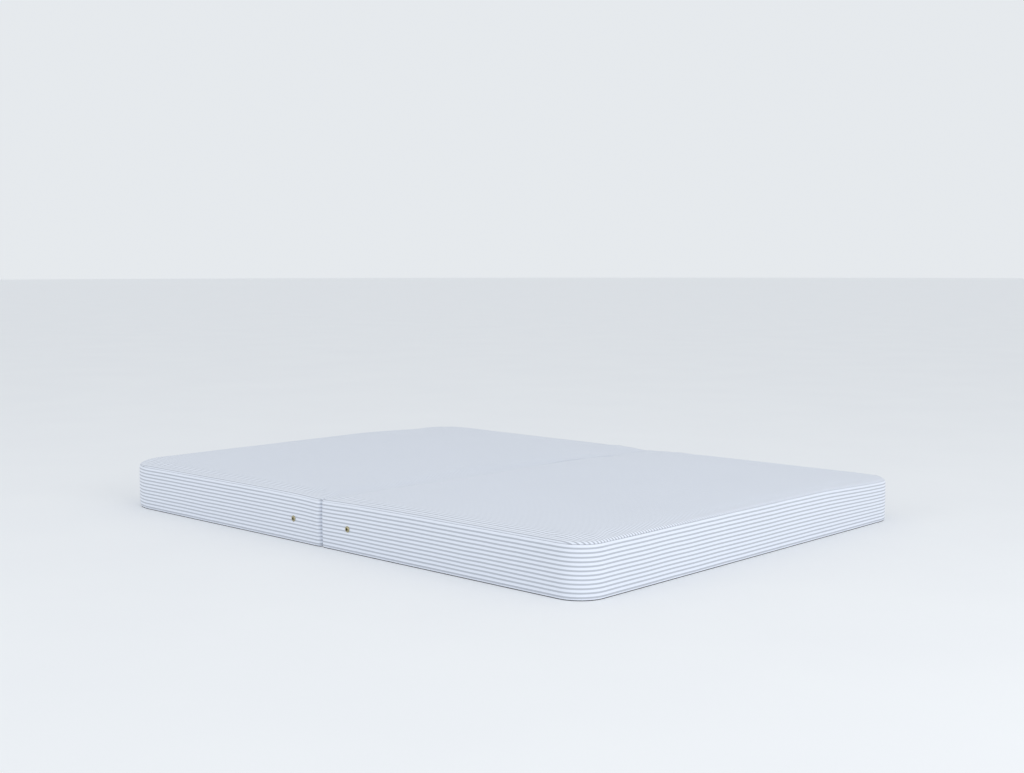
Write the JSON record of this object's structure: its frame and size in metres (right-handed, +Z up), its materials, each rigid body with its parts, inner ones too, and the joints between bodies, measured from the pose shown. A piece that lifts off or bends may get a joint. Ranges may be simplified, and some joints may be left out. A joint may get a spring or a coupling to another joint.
{
  "type": "upholstered bed base",
  "caption": "Shallow upholstered bed base in two halves that butt together across the bed, with striped ticking cover, rounded corners and small brass air vents.",
  "frame": {"origin": "on the ground under the middle of the whole base", "axes": "+X along the bed to the head end, +Y across the bed to its left side seen from the foot, +Z up"},
  "size_m": [2, 1.5042, 0.146],
  "materials": {
    "ticking": "woven cotton ticking, fine grey stripe",
    "felt": "needled wool felt",
    "pad_felt": "needled cotton felt pad",
    "dust_cloth": "non-woven bottom cloth",
    "softwood": "planed softwood, bare",
    "hardboard": "hardboard, bare",
    "brass": "lacquered brass"
  },
  "bodies": {
    "foot_half": {"foot_border": "ticking", "foot_bottom_cloth": "dust_cloth", "foot_centre_rail": "softwood", "foot_deck": "hardboard", "foot_edge_felt": "felt", "foot_end_rail": "softwood", "foot_inner_corner_far": "softwood", "foot_inner_corner_near": "softwood", "foot_meeting_rail": "softwood", "foot_outer_corner_far": "softwood", "foot_outer_corner_near": "softwood", "foot_pad": "pad_felt", "foot_side_rail_far": "softwood", "foot_side_rail_near": "softwood", "foot_slat_1": "softwood", "foot_slat_2": "softwood", "foot_slat_3": "softwood", "foot_slat_4": "softwood", "foot_slat_5": "softwood", "foot_top_panel": "ticking", "foot_vent_far": "brass", "foot_vent_gauze_far": "brass", "foot_vent_gauze_near": "brass", "foot_vent_near": "brass"},
    "head_half": {"head_border": "ticking", "head_bottom_cloth": "dust_cloth", "head_centre_rail": "softwood", "head_deck": "hardboard", "head_edge_felt": "felt", "head_end_rail": "softwood", "head_inner_corner_far": "softwood", "head_inner_corner_near": "softwood", "head_meeting_rail": "softwood", "head_outer_corner_far": "softwood", "head_outer_corner_near": "softwood", "head_pad": "pad_felt", "head_side_rail_far": "softwood", "head_side_rail_near": "softwood", "head_slat_1": "softwood", "head_slat_2": "softwood", "head_slat_3": "softwood", "head_slat_4": "softwood", "head_slat_5": "softwood", "head_top_panel": "ticking", "head_vent_far": "brass", "head_vent_gauze_far": "brass", "head_vent_gauze_near": "brass", "head_vent_near": "brass"}
  },
  "joints": [
    {"name": "halves_part", "type": "slide", "parent": "foot_half", "child": "head_half", "axis": [1, 0, 0], "range_m": [0, 0.3]}
  ]
}
